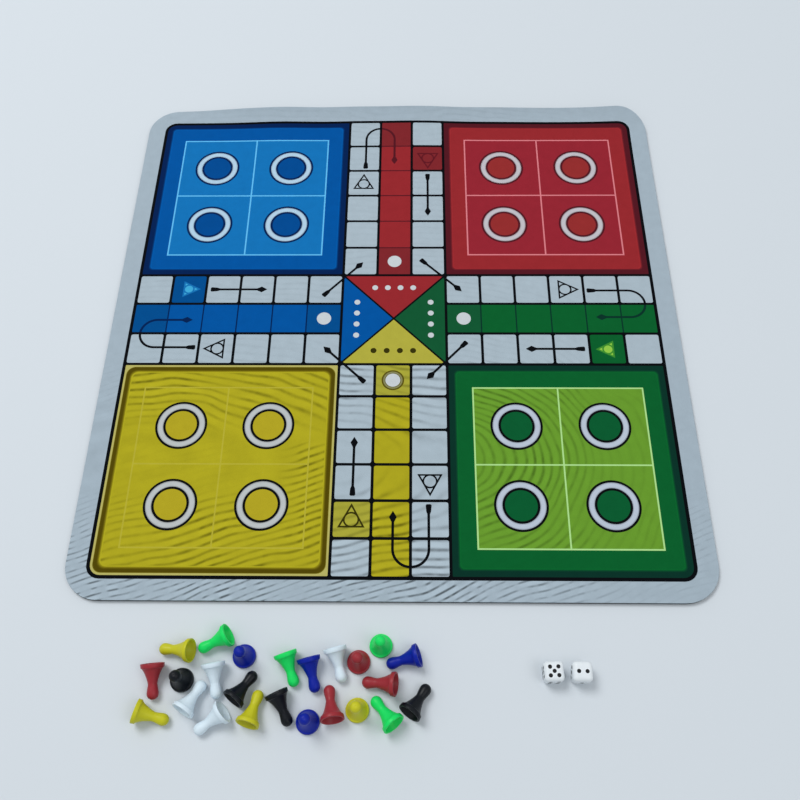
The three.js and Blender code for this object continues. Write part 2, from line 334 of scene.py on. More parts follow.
# Dyes as they are seen on the cloth
DYES = {
    "margin": (163, 178, 189),
    "white": (169, 184, 194),
    "black": (9, 11, 15),
    "dot": (200, 206, 210),
    "olive": (104, 98, 34),
    "olive_grey": (138, 138, 98),
    "yellow": (172, 163, 32),
    "yellow_marked": (166, 162, 56),
    "yellow_middle": (177, 171, 64),
    "yellow_deep": (82, 70, 6),
    "yellow_strip": (184, 177, 100),
    "yellow_panel": (174, 165, 33),
    "yellow_pale": (181, 172, 54),
    "yellow_disc": (178, 163, 36),
    "yellow_ring": (188, 193, 194),
    "yellow_sign_line": (54, 50, 10),
    "blue": (2, 83, 158),
    "blue_marked": (2, 76, 140),
    "blue_deep": (4, 34, 82),
    "blue_panel": (20, 114, 182),
    "blue_pale": (98, 188, 238),
    "blue_disc": (2, 74, 144),
    "blue_ring": (178, 206, 226),
    "blue_sign": (64, 168, 214),
    "blue_sign_line": (22, 112, 178),
    "red": (150, 41, 46),
    "red_marked": (127, 39, 44),
    "red_deep": (84, 24, 34),
    "red_panel": (148, 38, 50),
    "red_pale": (220, 128, 136),
    "red_disc": (148, 46, 46),
    "red_ring": (194, 190, 196),
    "red_sign_line": (96, 24, 34),
    "green": (10, 94, 44),
    "green_marked": (18, 86, 50),
    "green_deep": (9, 51, 40),
    "green_panel": (104, 152, 46),
    "green_pale": (174, 220, 142),
    "green_disc": (10, 90, 48),
    "green_ring": (186, 196, 211),
    "green_sign": (146, 200, 72),
    "green_sign_line": (62, 140, 48),
}
RING_EDGE_SHADE = 0.86  # of a ring's soft edge, against the ring
for player in PLAYERS:
    DYES[f"{player}_ring_edge"] = tuple(RING_EDGE_SHADE * value for value in DYES[f"{player}_ring"])

prints = []  # outlines with their dyes, where a later one lies over an earlier one


def print_area(points, dye, quarter=0):
    """Adds an outline that is given for the front player, turned to another player's side. It runs
    anticlockwise, in steps that are short enough to bend with the mat."""
    turn = -quarter * pi / 2
    turned = [Vector((x * cos(turn) - y * sin(turn), x * sin(turn) + y * cos(turn))) for x, y in points]
    pairs = list(zip(turned, turned[1:] + turned[:1]))
    if sum(a.cross(b) for a, b in pairs) < 0:
        pairs = [(b, a) for a, b in reversed(pairs)]
    outline = []
    for start, end in pairs:
        steps = max(1, round((end - start).length / FACE_STEP))
        outline += [tuple(start.lerp(end, k / steps)) for k in range(steps)]
    prints.append((outline, dye))


def box_outline(left, near, right, far):
    return [(left, near), (right, near), (right, far), (left, far)]


def round_box(left, near, right, far, radii, steps=6):
    """A box with a radius of its own at each corner: left near, right near, right far, left far."""
    centres = [
        (left + radii[0], near + radii[0], pi),
        (right - radii[1], near + radii[1], 1.5 * pi),
        (right - radii[2], far - radii[2], 0),
        (left + radii[3], far - radii[3], 0.5 * pi),
    ]
    points = []
    for (x, y, start), radius in zip(centres, radii):
        points += arc(x, y, radius, start, pi / 2, steps)
    return points


def disc_outline(x, y, radius, steps=48):
    return arc(x, y, radius, 0, 2 * pi, steps)[:-1]


frame_half = FIELD_HALF + FRAME_OUTSIDE
print_area(round_box(-frame_half, -frame_half, frame_half, frame_half, [FRAME_CORNER] * 4), "black")

# Squares of the track, the home columns and the four quarters of the middle. Thin lines of its own
# deep dye rule a dark home column, and a square that carries a mark is printed a shade off.
COLUMN_LINE_HALF = 0.0005
MIDDLE_LINE_HALF = 0.0007
START_SQUARE = (-1, 5)  # by column and row, as are the marked squares
MARKED_SQUARES = {
    "yellow": ((0, 1), START_SQUARE),
    "blue": ((0, 1), (0, 6), START_SQUARE),
    "red": ((0, 1), (0, 6), START_SQUARE),
    "green": ((0, 1),),
}
MIDDLE_DYES = {"yellow": "yellow_middle", "blue": "blue", "red": "red", "green": "green_marked"}
square_half = CELL / 2 - LINE_HALF
thinner_line = LINE_HALF - COLUMN_LINE_HALF
for quarter, player in enumerate(PLAYERS):
    is_dark = player != "yellow"
    if is_dark:
        strip = box_outline(-square_half, -FIELD_HALF + LINE_HALF, square_half, -ARM_HALF - LINE_HALF)
        print_area(strip, f"{player}_deep", quarter)
    for row in range(1, ARM_SQUARES + 1):
        for column in (-1, 0, 1):
            dye = player if column == 0 or (column, row) == START_SQUARE else "white"
            if (column, row) in MARKED_SQUARES[player]:
                dye = f"{player}_marked"
            x = column * CELL
            near = -ARM_HALF - row * CELL + LINE_HALF
            far = near + 2 * square_half
            corner = SQUARE_CORNER
            if is_dark and column == 0:
                near -= thinner_line if row < ARM_SQUARES else 0
                far += thinner_line if row > 1 else 0
                corner = SQUARE_CORNER / 2
            square = round_box(x - square_half, near, x + square_half, far, [corner] * 4, steps=3)
            print_area(square, dye, quarter)
    base = ARM_HALF - LINE_HALF
    tip = MIDDLE_LINE_HALF * 2**0.5
    print_area([(tip - base, -base), (base - tip, -base), (0, -tip)], MIDDLE_DYES[player], quarter)

# Yards: an outer strip, an edge of bands that fade into the colour, a ruled panel and four parking
# spots. A band has how far in it starts and its share of the full dye over the deep one.
DARK_EDGE = [(0.0038, 0.2), (0.0042, 0.45), (0.0046, 0.75), (0.0050, 1.12), (0.0057, 1)]
STRIPED_EDGE = [
    (0.0014, 0.4),
    (0.0018, 0),
    (0.0040, 0.15),
    (0.0045, 0.4),
    (0.0050, 0.7),
    (0.0055, 1.06),
    (0.0062, 1),
]
YARD_EDGES = {"yellow": STRIPED_EDGE, "blue": DARK_EDGE, "red": DARK_EDGE, "green": DARK_EDGE}
OUTER_STRIPS = {"yellow": "yellow_strip", "blue": "blue_deep", "red": "red_deep", "green": "green_deep"}
FRAME_SIDE_CORNER = 0.0072  # of a yard, where it lies in the frame's corner
LINE_SIDE_CORNER = 0.0006
BAND_CORNERS = {"yellow": 0.0066, "blue": 0.0044, "red": 0.0044, "green": 0.0044}
BAND_CORNER_LOSS = 0.3  # share of how far in a band lies that its corner loses
YARD_MIDDLE = (ARM_HALF + FIELD_HALF) / 2
YARD_SIDES = {"yellow": (-1, -1), "blue": (-1, 1), "red": (1, 1), "green": (1, -1)}
PANEL_ACROSS = 2.31 * CELL
PANEL_AWAY = 2.26 * CELL
RULE_HALF = 0.00055
SPOT_ACROSS = 1.175 * CELL
SPOT_AWAY = 1.12 * CELL
SPOT_LINES = {"yellow": "black", "blue": "blue_deep", "red": "red_deep", "green": "black"}
SPOT_RINGS = [  # each one's radius in squares, and what it holds
    (0.700, "line"),
    (0.638, "ring_edge"),
    (0.612, "ring"),
    (0.508, "ring_edge"),
    (0.484, "line"),
    (0.418, "disc"),
]


def band_dye(player, share):
    """A dye that lies between a player's deep dye and the full one, or past it."""
    plain = {0: f"{player}_deep", 1: player}
    if share in plain:
        return plain[share]
    name = f"{player}_band_{round(100 * share)}"
    pair = zip(DYES[f"{player}_deep"], DYES[player])
    DYES[name] = tuple(max(0, deep + (full - deep) * share) for deep, full in pair)
    return name


def print_yard(quarter, inset, frame_corner, corner, dye):
    """A yard's square, moved in from its lines, with a corner of its own in the frame's corner."""
    low = -FIELD_HALF + LINE_HALF + inset
    high = -ARM_HALF - LINE_HALF - inset
    print_area(round_box(low, low, high, high, [frame_corner, corner, corner, corner]), dye, quarter)


for quarter, player in enumerate(PLAYERS):
    print_yard(quarter, 0, FRAME_SIDE_CORNER, LINE_SIDE_CORNER, OUTER_STRIPS[player])
    for inset, share in YARD_EDGES[player]:
        corner = BAND_CORNERS[player] - BAND_CORNER_LOSS * inset
        print_yard(quarter, inset, corner, corner, band_dye(player, share))
    yard_x, yard_y = [side * YARD_MIDDLE for side in YARD_SIDES[player]]
    half_x, half_y = PANEL_ACROSS + RULE_HALF, PANEL_AWAY + RULE_HALF
    panel = box_outline(yard_x - half_x, yard_y - half_y, yard_x + half_x, yard_y + half_y)
    print_area(panel, f"{player}_pale")
    for side_x in (-1, 1):
        for side_y in (-1, 1):
            xs = sorted(yard_x + side_x * edge for edge in (RULE_HALF, PANEL_ACROSS - RULE_HALF))
            ys = sorted(yard_y + side_y * edge for edge in (RULE_HALF, PANEL_AWAY - RULE_HALF))
            print_area(box_outline(xs[0], ys[0], xs[1], ys[1]), f"{player}_panel")
            x = yard_x + side_x * SPOT_ACROSS
            y = yard_y + side_y * SPOT_AWAY
            for radius, part in SPOT_RINGS:
                dye = SPOT_LINES[player] if part == "line" else f"{player}_{part}"
                print_area(disc_outline(x, y, radius * CELL), dye)

# Arrows: a tail block that narrows into a thin line, and a diamond head. Each has its tail and its tip,
# in squares, and the one that turns has the middle of its bend.
STRAIGHT_ARROW = ((-1, -5.37), (-1, -3.71))
CORNER_ARROW = ((2.07, -0.77), (0.93, -1.97))
TURNING_ARROW = ((0.96, -5.59), (0.05, -5.77), -6.77)
ARROW_HALF = 0.0009
HEAD_LENGTH = 0.0078
HEAD_BARB = 0.0043
HEAD_HALF = 0.0026
TAIL_LENGTH = 0.0052
TAIL_HALF = 0.0020
TAIL_END_HALF = 0.0013
TAIL_END = 0.0008  # over which the tail's end rounds off
TAIL_NECK_HALF = 0.0016
TAIL_TAPER = 0.0018  # over which the tail block runs out into the line
TAIL_SIDE = [  # how far along and half as wide
    (0, TAIL_END_HALF),
    (TAIL_END, TAIL_HALF),
    (TAIL_LENGTH, TAIL_NECK_HALF),
    (TAIL_LENGTH + TAIL_TAPER, ARROW_HALF),
]
HEAD_SIDE = [(HEAD_LENGTH, ARROW_HALF), (HEAD_BARB, HEAD_HALF)]  # how far back and half as wide


def straight_arrow(tail, tip):
    start = Vector((tail[0] * CELL, tail[1] * CELL))
    along = Vector((tip[0] * CELL, tip[1] * CELL)) - start
    length = along.length
    along.normalize()
    across = Vector((-along.y, along.x))
    side = [*TAIL_SIDE, *[(length - back, half) for back, half in HEAD_SIDE]]
    outline = [*side, (length, 0), *[(x, -y) for x, y in reversed(side)]]
    return [tuple(start + along * x + across * y) for x, y in outline]


def turning_arrow(tail, tip, bend, steps=20):
    """From the right column, round its outer end and back up the home column."""
    radius = (tail[0] - tip[0]) * CELL / 2
    middle = Vector(((tail[0] + tip[0]) * CELL / 2, bend * CELL))
    tail_end = tail[1] * CELL - middle.y
    tip_end = tip[1] * CELL - middle.y
    outline = [(radius - half, tail_end - along) for along, half in reversed(TAIL_SIDE)]
    outline += [(radius + half, tail_end - along) for along, half in TAIL_SIDE]
    outline += arc(0, 0, radius + ARROW_HALF, 0, -pi, steps)
    outline += [(-radius - half, tip_end - back) for back, half in HEAD_SIDE]
    outline.append((-radius, tip_end))
    outline += [(-radius + half, tip_end - back) for back, half in reversed(HEAD_SIDE)]
    outline += arc(0, 0, radius - ARROW_HALF, -pi, pi, steps)
    return [(middle.x + x, middle.y + y) for x, y in outline]


# Signs: a triangle round a circle that touches its three sides, on the start square and on one square
# of the right column. Places and the radii of dots are in squares.
START_SIGN = (-1.01, -6.01)
COLUMN_SIGN = (1, -4.965)
FILLED_SIGN_HALF = 0.0072  # half the base
OPEN_SIGN_HALF = 0.0091
COLUMN_SIGN_HALF = 0.0086
SIGN_LINE = 0.0012
SIGN_ASPECT = 1.85  # height over half the base
SIGN_STEPS = 28
HOME_DOT_Y = -2
HOME_DOT = [(0.205, "dot")]
HALO = [(0.31, "yellow_deep"), (0.285, "olive"), (0.262, "olive_grey"), (0.228, "olive")]
MIDDLE_DOTS = 4
MIDDLE_DOT_STEP = 0.37
MIDDLE_DOT_Y = -1.06
MIDDLE_DOT_RADIUS = 0.085


def sign_circle(half):
    """The radius of the circle that touches the three sides."""
    return half * SIGN_ASPECT / (1 + (1 + SIGN_ASPECT**2) ** 0.5)


def sign_triangle(x, y, points_to, half):
    """A triangle around the circle's middle, pointing away from the player or towards them."""
    foot = y - points_to * sign_circle(half)
    return [(x, foot + points_to * SIGN_ASPECT * half), (x - half, foot), (x + half, foot)]


def print_sign(quarter, place, points_to, half, line, fill):
    x, y = place[0] * CELL, place[1] * CELL
    radius = sign_circle(half)
    thinner = half * (1 - SIGN_LINE / radius)
    print_area(sign_triangle(x, y, points_to, half), line, quarter)
    print_area(sign_triangle(x, y, points_to, thinner), fill, quarter)
    print_area(disc_outline(x, y, radius, SIGN_STEPS), line, quarter)
    print_area(disc_outline(x, y, radius - SIGN_LINE, SIGN_STEPS), fill, quarter)


for quarter, player in enumerate(PLAYERS):
    print_area(straight_arrow(*STRAIGHT_ARROW), "arrow", quarter)
    print_area(straight_arrow(*CORNER_ARROW), "arrow", quarter)
    print_area(turning_arrow(*TURNING_ARROW), "arrow", quarter)
    for radius, dye in [*HALO, *HOME_DOT] if player == "yellow" else HOME_DOT:
        print_area(disc_outline(0, HOME_DOT_Y * CELL, radius * CELL), dye, quarter)
    is_filled = player in ("blue", "green")
    fill = f"{player}_sign" if is_filled else f"{player}_marked"
    half = FILLED_SIGN_HALF if is_filled else OPEN_SIGN_HALF
    print_sign(quarter, START_SIGN, 1, half, f"{player}_sign_line", fill)
    print_sign(quarter, COLUMN_SIGN, -1, COLUMN_SIGN_HALF, "black", "white")
    dye = "yellow_sign_line" if player == "yellow" else "dot"
    for k in range(MIDDLE_DOTS):
        x = (k - (MIDDLE_DOTS - 1) / 2) * MIDDLE_DOT_STEP * CELL
        print_area(disc_outline(x, MIDDLE_DOT_Y * CELL, MIDDLE_DOT_RADIUS * CELL, steps=20), dye, quarter)

# The weave's threads, and the fine ripples on the near half of the mat, which are painted into the cloth's
# colour as shade in a dark stroke along each trough and light between, beside a bump. These run in arcs:
# each set has its middle and how far the arcs are drawn out sideways. In the near half of the left yard and
# along the edge of the mat they are slant strokes.
THREAD_STEP = 0.00046
RIPPLE_LENGTH = 0.0056
RIPPLE_Y = -0.113
NEAR_ARCS = (-0.163, 4.5)
LEFT_YARD_ARCS = (-0.178, 2.7)
RIGHT_YARD_ARCS = (0.030, 1.4)
RIGHT_RIPPLE_LENGTH = 0.0046
SLANT_TOP = -0.100  # where the left yard's slant strokes begin
YARD_SLANT = 0.34
YARD_FLATTENING = 0.45  # half of what the slant loses for each metre to the right
MARGIN_SLANT = 0.36
MARGIN_RIPPLE_LENGTH = 0.0043
# Wider ripples in the left yard, painted as light and shade in the colour only, with no bump.
BROAD_RIPPLE_LENGTH = 0.015
BROAD_STRENGTH = 0.06
STROKE_DRIFT = 38  # how far the cloth's drift pushes the strokes about, as an angle
BROAD_DRIFT = 12
STROKE_SHARPNESS = 3
MARGIN_SHARPNESS = 5
STROKE_LIGHT = 0.2  # painted light that the cloth gains between one stroke and the next

# Spans over which the ripples fade: in metres across or away, from a line or from an arc's middle
MIDDLE_FADE = (-ARM_HALF - 0.004, -ARM_HALF + 0.004)
RIGHT_FADE = (0.09, 0.15)
SIDE_MARGIN_FADE = (-0.170, -0.125)
ARC_MIDDLE_FADE = (0.012, 0.040)
CALM_FADE = (0.003, 0.045)
YARD_ARC_FADE = (0.003, 0.035)
YARD_SLANT_FADE = (0.036, 0.060)
BY_ARM_FADE = (-0.078, -0.060)
SLANT_TOP_FADE = (0, 0.006)
BROAD_NEAR_FADE = (-0.150, -0.115)
BROAD_FAR_FADE = (-0.085, -0.050)


def node_group(name, takes, gives):
    """A node group with its input and output sockets, each named with its kind."""
    group = bpy.data.node_groups.new(name, "ShaderNodeTree")
    for way, sockets in (("INPUT", takes), ("OUTPUT", gives)):
        for socket, kind in sockets.items():
            group.interface.new_socket(socket, in_out=way, socket_type=f"NodeSocket{kind}")
    given = group.nodes.new("NodeGroupInput").outputs
    return group, given, group.nodes.new("NodeGroupOutput").inputs


def choose(group, mask, outside, inside):
    """One value outside a mask and another inside it."""
    return add_node(group, "ShaderNodeMix", {"Factor": mask, "A": outside, "B": inside}).outputs[0]


def vectors(group, operation, values):
    """The outputs of one Vector Math node."""
    return add_node(group, "ShaderNodeVectorMath", values, operation=operation).outputs


def toned(group, colour, light):
    return vectors(group, "SCALE", {0: colour, "Scale": light})[0]


def arc_reach(group, flat, x, drawn_out):
    """How far a place is from the middle of a set of arcs."""
    away = vectors(group, "SUBTRACT", {0: flat, 1: (x, RIPPLE_Y, 0)})[0]
    squeezed = vectors(group, "MULTIPLY", {0: away, 1: (1 / drawn_out, 1, 0)})[0]
    return vectors(group, "LENGTH", {0: squeezed})["Value"]


def away_from(group, value, level):
    return calc(group, "ABSOLUTE", calc(group, "SUBTRACT", value, level))


def mat_parts(group, x, y):
    """Masks of the parts of the mat where the ripples run their own way."""
    left_yard = calc(group, "LESS_THAN", x, -ARM_HALF)
    near_half = calc(group, "LESS_THAN", y, SLANT_TOP)
    side_margin = calc(group, "GREATER_THAN", calc(group, "ABSOLUTE", x), FIELD_HALF)
    near_margin = calc(group, "LESS_THAN", y, -FIELD_HALF)
    return {
        "left_yard": left_yard,
        "right_yard": calc(group, "GREATER_THAN", x, ARM_HALF),
        "near_half": near_half,
        "slant_yard": product(group, left_yard, near_half),
        "side_margin": side_margin,
        "margin": calc(group, "MAXIMUM", side_margin, near_margin),
    }


def ripple_paths(group, flat, x, y, parts):
    """How far a place lies along the way in which stroke follows stroke, and from its arcs' middle."""
    away = arc_reach(group, flat, *NEAR_ARCS)
    away = choose(group, parts["left_yard"], away, arc_reach(group, flat, *LEFT_YARD_ARCS))
    away = choose(group, parts["right_yard"], away, arc_reach(group, flat, *RIGHT_YARD_ARCS))
    finer = product(group, away, RIPPLE_LENGTH / RIGHT_RIPPLE_LENGTH)
    from_left = total(group, x, FIELD_HALF)
    slant = calc(group, "SUBTRACT", YARD_SLANT, product(group, from_left, YARD_FLATTENING))
    yard_way = calc(group, "SUBTRACT", y, product(group, from_left, slant))
    margin_way = calc(group, "SUBTRACT", y, product(group, x, MARGIN_SLANT))
    margin_way = product(group, margin_way, RIPPLE_LENGTH / MARGIN_RIPPLE_LENGTH)
    way = choose(group, parts["right_yard"], away, finer)
    way = choose(group, parts["slant_yard"], way, yard_way)
    way = choose(group, parts["margin"], way, margin_way)
    return way, away


def ripple_fades(group, flat, x, y, away, parts):
    """Shares that weaken the strokes from place to place."""
    breaks = noise(group, flat, scale=130, detail=1)
    few_breaks = ramp(group, breaks, (0.4, 0.6), (0.6, 1))
    many_breaks = ramp(group, breaks, (0.38, 0.58), (0.1, 1.1))
    patches = noise(group, flat, scale=21, detail=2)
    off_sides = calc(group, "SUBTRACT", 1, parts["side_margin"])
    beside = calc(group, "MAXIMUM", ramp(group, y, SIDE_MARGIN_FADE, (1, 0.1)), off_sides)
    from_slants = away_from(group, y, SLANT_TOP)
    on_arcs = ramp(group, from_slants, YARD_ARC_FADE, (0, 1))
    by_arm = ramp(group, x, BY_ARM_FADE, (0, 1))
    by_arm = product(group, by_arm, ramp(group, from_slants, SLANT_TOP_FADE, (0, 1)))
    on_slants = calc(group, "MAXIMUM", ramp(group, from_slants, YARD_SLANT_FADE, (0.05, 1)), by_arm)
    off_calm = ramp(group, away_from(group, y, RIPPLE_Y), CALM_FADE, (0.05, 1))
    up_down = calc(group, "MAXIMUM", off_calm, parts["right_yard"])
    in_yard = choose(group, parts["near_half"], on_arcs, on_slants)
    is_slant = calc(group, "MAXIMUM", parts["margin"], parts["slant_yard"])
    return [
        ramp(group, y, MIDDLE_FADE, (1, 0.1)),
        ramp(group, x, RIGHT_FADE, (1, 0.2)),
        ramp(group, patches, (0.38, 0.6), (0.3, 1)),
        choose(group, parts["margin"], few_breaks, many_breaks),
        beside,
        choose(group, parts["left_yard"], up_down, in_yard),
        calc(group, "MAXIMUM", ramp(group, away, ARC_MIDDLE_FADE, (0, 1)), is_slant),
    ]


def woven_threads():
    """The weave's colour, shine and relief: threads that cross over and under, with painted shade between
    them, mottled dye and, on a pale dye near the player, fine ripples of the cloth, drawn as a bump and as
    painted shade in a dark stroke along each trough with painted light between, and wider ripples of painted
    light and shade in the left yard."""
    gives = {"Color": "Color", "Roughness": "Float", "Relief": "Float", "Waves": "Float"}
    group, given, out = node_group("woven_threads", {"Dye": "Color", "Ripple": "Float"}, gives)
    place = add_node(group, "ShaderNodeTexCoord").outputs["Object"]
    axes = add_node(group, "ShaderNodeSeparateXYZ", {0: place})
    x, y = axes.outputs["X"], axes.outputs["Y"]
    flat = add_node(group, "ShaderNodeCombineXYZ", {"X": x, "Y": y}).outputs[0]

    warp = calc(group, "ABSOLUTE", calc(group, "SINE", product(group, x, pi / THREAD_STEP)))
    weft = calc(group, "ABSOLUTE", calc(group, "SINE", product(group, y, pi / THREAD_STEP)))
    over = add_node(group, "ShaderNodeTexChecker", {"Vector": flat, "Scale": 1 / THREAD_STEP}).outputs["Fac"]
    relief = choose(group, over, warp, weft)
    mottle = noise(group, flat, scale=140, detail=4)
    drift = noise(group, flat, scale=9, detail=2.5)

    parts = mat_parts(group, x, y)
    way, away = ripple_paths(group, flat, x, y, parts)
    bands = total(group, product(group, way, 2 * pi / RIPPLE_LENGTH), product(group, drift, STROKE_DRIFT))
    wave = total(group, 0.5, product(group, calc(group, "SINE", bands), 0.5))
    sharpness = choose(group, parts["margin"], STROKE_SHARPNESS, MARGIN_SHARPNESS)
    # Painted shade: the colour is darkened along each stroke and lightened between them; the same ripple
    # also drives a bump.
    shade_strokes = calc(group, "SUBTRACT", STROKE_LIGHT, calc(group, "POWER", wave, sharpness))
    fades = ripple_fades(group, flat, x, y, away, parts)
    ripple = product(group, shade_strokes, given["Ripple"], *fades)

    # Painted light and shade: wider ripples in the left yard that only lighten and darken the colour.
    wide_ripple_shade = product(group, arc_reach(group, flat, *LEFT_YARD_ARCS), 2 * pi / BROAD_RIPPLE_LENGTH)
    wide_ripple_shade = calc(group, "SINE", total(group, wide_ripple_shade, product(group, drift, BROAD_DRIFT)))
    broad_near = ramp(group, y, BROAD_NEAR_FADE, (0, BROAD_STRENGTH))
    broad_far = ramp(group, y, BROAD_FAR_FADE, (1, 0))
    wide_ripple_shade = product(group, wide_ripple_shade, parts["left_yard"], given["Ripple"], broad_near, broad_far)
    mottled = product(group, calc(group, "SUBTRACT", mottle, 0.5), 0.16)
    # Painted shade: the colour darkens between the threads, where their relief is low, beside the threads'
    # bump.
    light = total(group, 0.83, product(group, relief, 0.2), wide_ripple_shade, mottled, ripple)
    group.links.new(toned(group, given["Dye"], light), out["Color"])
    group.links.new(calc(group, "SUBTRACT", 0.92, product(group, relief, 0.12)), out["Roughness"])
    group.links.new(relief, out["Relief"])
    group.links.new(ripple, out["Waves"])
    return group


threads = woven_threads()
# How strongly each dye shows the ripples, both their painted shade and light and their bump.
RIPPLED = {
    "margin": 0.8,
    "white": 0.75,
    "yellow": 0.74,
    "yellow_marked": 0.55,
    "yellow_panel": 0.74,
    "green_panel": 0.6,
}
OTHER_RIPPLED = 0.03


def dyed_cloth(name, seen):
    material, tree, cloth = new_material(f"{name}_dyed_cloth")
    inputs = {"Dye": seen_colour(*seen), "Ripple": RIPPLED.get(name, OTHER_RIPPLED)}
    weave = add_node(tree, "ShaderNodeGroup", inputs, node_tree=threads).outputs
    waves = add_node(tree, "ShaderNodeBump", {"Distance": 0.0008, "Height": weave["Waves"]})
    thread_bump = {"Strength": 0.35, "Distance": 0.00008, "Height": weave["Relief"]}
    bump = add_node(tree, "ShaderNodeBump", thread_bump)
    tree.links.new(waves.outputs[0], bump.inputs["Normal"])
    tree.links.new(weave["Color"], cloth.inputs["Base Color"])
    tree.links.new(weave["Roughness"], cloth.inputs["Roughness"])
    tree.links.new(bump.outputs[0], cloth.inputs["Normal"])
    cloth.inputs["Specular IOR Level"].default_value = 0.03
    return material


dye_names = list(DYES)


def dye_over(over):
    """The dye that shows where these areas lie over each other: the last one, or for an arrow on a
    coloured square that colour's dark tone, because black sinks into a dark dye."""
    over = sorted(k for k in over if k > 0)
    if not over:
        return dye_names.index("margin")
    dye = prints[over[-1] - 1][1]
    if dye == "arrow":
        under = prints[over[-2] - 1][1].split("_")[0]
        dye = f"{under}_deep" if under in ("blue", "red", "green") else "black"
    return dye_names.index(dye)


printed_cloth = mat_layer(
    "printed_cloth",
    foot=RUBBER_TOP,
    top=CLOTH_TOP,
    edge_round=CLOTH_EDGE_ROUND,
    areas=[points for points, _ in prints],
    dye_of=dye_over,
    materials=[dyed_cloth(name, seen) for name, seen in DYES.items()],
    upper_map=WIDE_MAP,
    lower_map=SMALL_MAP,
)
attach(printed_cloth, "mat")
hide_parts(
    "cloth_face", "yellow_print", "blue_print", "red_print", "green_print", "black_line_print"
)

# Pawns. Each is one hollow shot of hard plastic, open underneath, with an upright rim, a flared skirt,
# a neck and a ball head. The two halves of the mould leave a fine seam up both sides, and the plastic
# went in at the top of the head.

PAWN_HEIGHT = 0.021
BASE_RADIUS = 0.00725
RIM_TOP_RADIUS = 0.00695
RIM_HEIGHT = 0.0026
RIM_EASE = 0.0003  # how far the rim's edges are eased off
NECK_RADIUS = 0.00275
HEAD_RADIUS = 0.0035
HEAD_MIDDLE = PAWN_HEIGHT - HEAD_RADIUS
FLARE_TOP = 0.0116
FLARE_BEND = (0.34, 0.36)  # shares of the flare's width and height where its curve bends
LEDGE = 0.0006  # between the rim and the foot of the skirt
LEDGE_RISE = 0.0001
WALL = 0.0012
HOLLOW_SHOULDER = 0.0008  # how far below the hollow's top its end starts to round off
HOLLOW_ROUND = (0.7, 0.0003)  # share of the radius and depth of a point of that round
GATE_RADIUS = 0.0006
GATE_FLAT = 0.8  # share of the gate mark that is flat
GATE_DEPTH = 0.00012
SEAM = 0.00006
SEAM_HALF_ANGLE = 0.022
SEAM_MARGIN = 2  # rows at the gate and above the foot that have no seam
PAWN_COLUMNS = 56
HEAD_STEPS = 9
NECK_STEPS = 10
SKIRT_STEPS = 14
HOLLOW_STEPS = 10
PAWN_CREASE = radians(50)


def skirt_curve(foot, neck, low, high, steps):
    """The skirt's hollow flare from its foot up to the neck."""
    bend = (neck + (foot - neck) * FLARE_BEND[0], low + (high - low) * FLARE_BEND[1])
    points = []
    for k in range(steps + 1):
        t = k / steps
        r = (1 - t) ** 2 * foot + 2 * t * (1 - t) * bend[0] + t * t * neck
        z = (1 - t) ** 2 * low + 2 * t * (1 - t) * bend[1] + t * t * high
        points.append((r, z))
    return points


def pawn_profile():
    """Radius and height from the mould's gate on the head, down the outside and up the inside."""
    points = [(0, PAWN_HEIGHT - GATE_DEPTH), (GATE_RADIUS * GATE_FLAT, PAWN_HEIGHT - GATE_DEPTH)]
    top_angle = acos(GATE_RADIUS / HEAD_RADIUS)
    points += arc(0, HEAD_MIDDLE, HEAD_RADIUS, top_angle, -top_angle, HEAD_STEPS)
    for k in range(1, NECK_STEPS):
        share = k / NECK_STEPS
        swell = (1 + cos(pi * share)) / 2
        radius = NECK_RADIUS + (HEAD_RADIUS - NECK_RADIUS) * swell
        points.append((radius, HEAD_MIDDLE + (FLARE_TOP - HEAD_MIDDLE) * share))
    skirt_foot = RIM_TOP_RADIUS - LEDGE
    skirt = skirt_curve(skirt_foot, NECK_RADIUS, RIM_HEIGHT + LEDGE_RISE, FLARE_TOP, SKIRT_STEPS)
    points += reversed(skirt)
    hollow_foot = BASE_RADIUS - WALL
    points += [
        (RIM_TOP_RADIUS - RIM_EASE, RIM_HEIGHT),
        (RIM_TOP_RADIUS - RIM_EASE / 3, RIM_HEIGHT - RIM_EASE / 6),
        (RIM_TOP_RADIUS, RIM_HEIGHT - RIM_EASE * 2 / 3),
        (BASE_RADIUS - RIM_EASE / 15, RIM_EASE),
        (BASE_RADIUS - RIM_EASE / 3, RIM_EASE / 3),
        (BASE_RADIUS - RIM_EASE, 0),
        (hollow_foot + RIM_EASE * 2 / 3, 0),
        (hollow_foot, RIM_EASE * 2 / 3),
    ]
    hollow_top = NECK_RADIUS - WALL
    shoulder = FLARE_TOP - HOLLOW_SHOULDER
    points += skirt_curve(RIM_TOP_RADIUS - WALL, hollow_top, RIM_HEIGHT, shoulder, HOLLOW_STEPS)
    points += [(hollow_top * HOLLOW_ROUND[0], FLARE_TOP - HOLLOW_ROUND[1]), (0, FLARE_TOP)]
    return points


